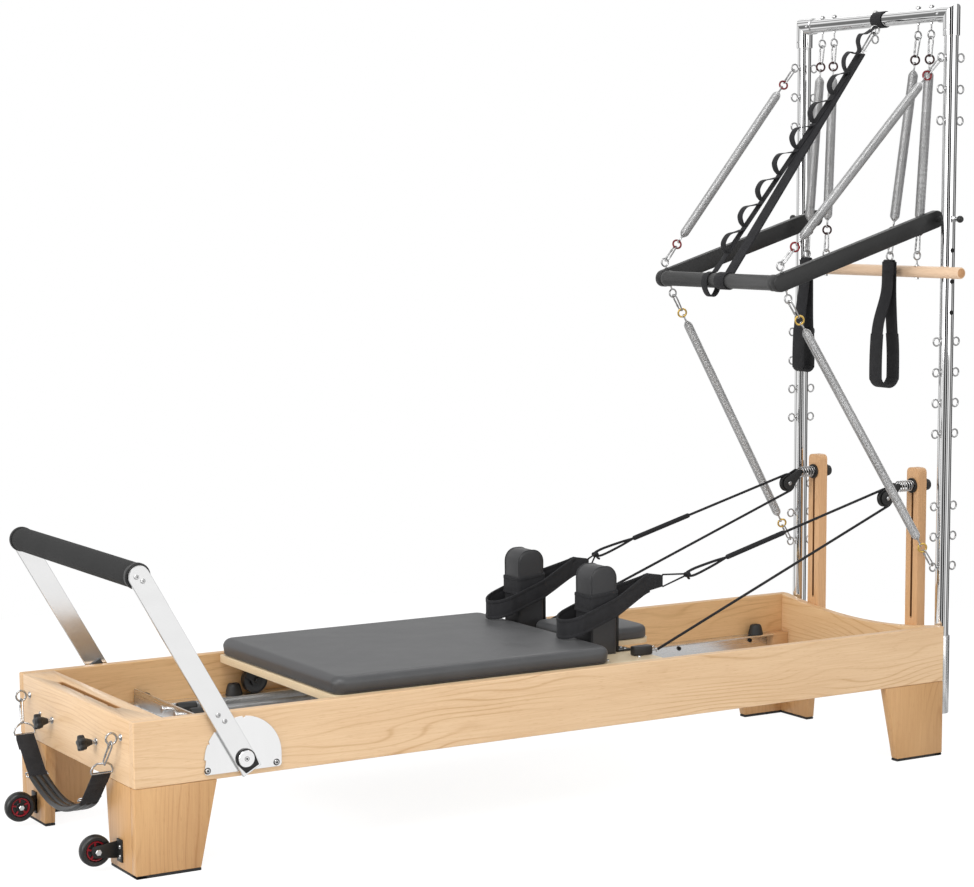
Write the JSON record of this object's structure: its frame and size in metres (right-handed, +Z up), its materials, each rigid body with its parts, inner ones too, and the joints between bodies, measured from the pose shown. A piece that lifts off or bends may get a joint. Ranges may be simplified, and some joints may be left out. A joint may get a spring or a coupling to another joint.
{
  "type": "pilates reformer with tower",
  "caption": "Wooden pilates bed with a sliding padded carriage, folding foot bar, ropes on pulleys and a steel spring tower with push bar and roll-down bar.",
  "frame": {"origin": "on the floor under the middle of the outer box, bed length along X", "axes": "+X from the foot end to the tower, +Y from the near rail to the far rail, +Z up"},
  "size_m": [2.4826, 0.8016, 2.011],
  "materials": {
    "aluminium": "anodised",
    "black_aluminium": "black anodised",
    "black_metal": "black powder coat",
    "black_plastic": "moulded black",
    "chrome": "polished",
    "dowel_wood": "sanded",
    "foam": "matte foam sleeve",
    "light_maple": "clear satin lacquer",
    "plywood": "clear lacquer",
    "riser_wood": "clear satin lacquer",
    "spring_steel": "bright spring wire",
    "stainless": "brushed",
    "tyre_rubber": "black rubber",
    "vinyl": "matte leathercloth",
    "webbing": "woven webbing"
  },
  "bodies": {
    "frame": {"carriage_springs": "spring_steel", "far_quadrant_plate": "stainless", "far_riser": "riser_wood", "far_roll_bar_spring": "spring_steel", "far_rope": "webbing", "far_side_rail": "light_maple", "far_tower_post": "chrome", "far_track": "aluminium", "far_wheel_bracket": "black_metal", "foot_end_board": "light_maple", "foot_leg_far": "light_maple", "foot_leg_near": "light_maple", "lower_far_push_spring": "spring_steel", "lower_near_push_spring": "spring_steel", "near_quadrant_plate": "stainless", "near_riser": "riser_wood", "near_roll_bar_spring": "spring_steel", "near_rope": "webbing", "near_side_rail": "light_maple", "near_tower_post": "chrome", "near_track": "aluminium", "near_wheel_bracket": "black_metal", "spring_bar": "stainless", "stretch_strap": "webbing", "tower_end_board": "light_maple", "tower_leg_far": "light_maple", "tower_leg_near": "light_maple", "tower_top_bar": "chrome", "upper_far_push_spring": "spring_steel", "upper_near_push_spring": "spring_steel"},
    "carriage": {"carriage_platform": "plywood", "carriage_pad": "vinyl", "near_shoulder_rest": "vinyl", "far_shoulder_rest": "vinyl", "near_foot_loop": "webbing", "far_foot_loop": "webbing"},
    "headrest": {"headrest": "vinyl"},
    "foot_bar": {"foot_bar": "stainless", "foot_bar_pad": "foam"},
    "foot_strap": {"foot_strap": "webbing"},
    "push_bar": {"push_bar": "black_aluminium"},
    "roll_down_bar": {"roll_down_bar": "dowel_wood"},
    "near_front_roller": {"near_front_roller": "black_plastic"},
    "near_rear_roller": {"near_rear_roller": "black_plastic"},
    "near_transport_wheel": {"near_transport_wheel": "tyre_rubber"},
    "near_star_knob": {"near_star_knob": "black_plastic"},
    "near_pulley": {"near_pulley_block": "black_metal"},
    "near_sheave": {"near_sheave": "black_plastic"},
    "near_pull_pin": {"near_pull_pin": "black_plastic"},
    "near_hand_loop": {"near_hand_loop": "webbing", "near_loop_spring": "spring_steel"},
    "far_front_roller": {"far_front_roller": "black_plastic"},
    "far_rear_roller": {"far_rear_roller": "black_plastic"},
    "far_transport_wheel": {"far_transport_wheel": "tyre_rubber"},
    "far_star_knob": {"far_star_knob": "black_plastic"},
    "far_pulley": {"far_pulley_block": "black_metal"},
    "far_sheave": {"far_sheave": "black_plastic"},
    "far_pull_pin": {"far_pull_pin": "black_plastic"},
    "far_hand_loop": {"far_hand_loop": "webbing", "far_loop_spring": "spring_steel"}
  },
  "joints": [
    {"name": "carriage_slide", "type": "slide", "parent": "frame", "child": "carriage", "axis": [1, 0, 0], "range_m": [0, 0.783], "deforming": ["carriage_springs", "near_rope", "far_rope"]},
    {"name": "near_front_roller_spin", "type": "hinge", "parent": "carriage", "child": "near_front_roller", "pos_m": [-0.5553, -0.29325, 0.2803], "axis": [0, 1, 0], "continuous": true},
    {"name": "far_front_roller_spin", "type": "hinge", "parent": "carriage", "child": "far_front_roller", "pos_m": [-0.5553, 0.32475, 0.2803], "axis": [0, 1, 0], "continuous": true},
    {"name": "near_rear_roller_spin", "type": "hinge", "parent": "carriage", "child": "near_rear_roller", "pos_m": [0.1897, -0.29325, 0.2803], "axis": [0, 1, 0], "continuous": true},
    {"name": "far_rear_roller_spin", "type": "hinge", "parent": "carriage", "child": "far_rear_roller", "pos_m": [0.1897, 0.32475, 0.2803], "axis": [0, 1, 0], "continuous": true},
    {"name": "headrest_tilt", "type": "hinge", "parent": "carriage", "child": "headrest", "pos_m": [0.1507, 0.01575, 0.3523], "axis": [0, -1, 0], "range_deg": [0, 32]},
    {"name": "foot_bar_fold", "type": "hinge", "parent": "frame", "child": "foot_bar", "pos_m": [-0.8951, 0.01575, 0.247], "axis": [0, 1, 0], "range_deg": [-59, 31]},
    {"name": "foot_strap_swing", "type": "hinge", "parent": "frame", "child": "foot_strap", "pos_m": [-1.1773, 0.01575, 0.309], "axis": [0, 1, 0], "range_deg": [0, 50]},
    {"name": "near_transport_wheel_spin", "type": "hinge", "parent": "frame", "child": "near_transport_wheel", "pos_m": [-1.2053, -0.22755, 0.0493], "axis": [0, 1, 0], "continuous": true},
    {"name": "near_star_knob_turn", "type": "hinge", "parent": "frame", "child": "near_star_knob", "pos_m": [-1.1953, -0.12425, 0.273], "axis": [1, 0, 0], "continuous": true},
    {"name": "near_pulley_height", "type": "slide", "parent": "frame", "child": "near_pulley", "axis": [0, 0, 1], "range_m": [-0.31, 0]},
    {"name": "near_sheave_spin", "type": "hinge", "parent": "near_pulley", "child": "near_sheave", "pos_m": [1.0717, -0.20375, 0.695], "axis": [0, 1, 0], "continuous": true},
    {"name": "near_pull_pin_slide", "type": "slide", "parent": "frame", "child": "near_pull_pin", "axis": [0, -1, 0], "range_m": [0, 0.01], "stiffness_N_per_m": 400, "springref_m": -0.003},
    {"name": "near_hand_loop_swing", "type": "hinge", "parent": "frame", "child": "near_hand_loop", "pos_m": [1.1942, -0.16625, 1.92785], "axis": [0, 1, 0], "range_deg": [0, 10]},
    {"name": "far_transport_wheel_spin", "type": "hinge", "parent": "frame", "child": "far_transport_wheel", "pos_m": [-1.2053, 0.25905, 0.0493], "axis": [0, 1, 0], "continuous": true},
    {"name": "far_star_knob_turn", "type": "hinge", "parent": "frame", "child": "far_star_knob", "pos_m": [-1.1953, 0.15575, 0.273], "axis": [1, 0, 0], "continuous": true},
    {"name": "far_pulley_height", "type": "slide", "parent": "frame", "child": "far_pulley", "axis": [0, 0, 1], "range_m": [-0.31, 0]},
    {"name": "far_sheave_spin", "type": "hinge", "parent": "far_pulley", "child": "far_sheave", "pos_m": [1.0717, 0.23525, 0.695], "axis": [0, 1, 0], "continuous": true},
    {"name": "far_pull_pin_slide", "type": "slide", "parent": "frame", "child": "far_pull_pin", "axis": [0, 1, 0], "range_m": [0, 0.01], "stiffness_N_per_m": 400, "springref_m": -0.003},
    {"name": "far_hand_loop_swing", "type": "hinge", "parent": "frame", "child": "far_hand_loop", "pos_m": [1.1942, 0.25175, 1.92785], "axis": [0, 1, 0], "range_deg": [0, 10]},
    {"name": "push_bar_swing", "type": "hinge", "parent": "frame", "child": "push_bar", "pos_m": [1.1942, 0.01575, 1.4445], "axis": [0, 1, 0], "range_deg": [-40, 70], "deforming": ["upper_near_push_spring", "upper_far_push_spring", "lower_near_push_spring", "lower_far_push_spring", "stretch_strap"]},
    {"name": "roll_down_bar_pull", "type": "slide", "parent": "frame", "child": "roll_down_bar", "axis": [0, 0, 1], "range_m": [-0.15, 0], "stiffness_N_per_m": 600, "springref_m": 0.02, "deforming": ["near_roll_bar_spring", "far_roll_bar_spring"]}
  ],
  "couplings": [
    {"joint": "near_front_roller_spin", "follows": "carriage_slide", "rad_per_m": 30.303},
    {"joint": "far_front_roller_spin", "follows": "carriage_slide", "rad_per_m": 30.303},
    {"joint": "near_rear_roller_spin", "follows": "carriage_slide", "rad_per_m": 30.303},
    {"joint": "far_rear_roller_spin", "follows": "carriage_slide", "rad_per_m": 30.303}
  ]
}
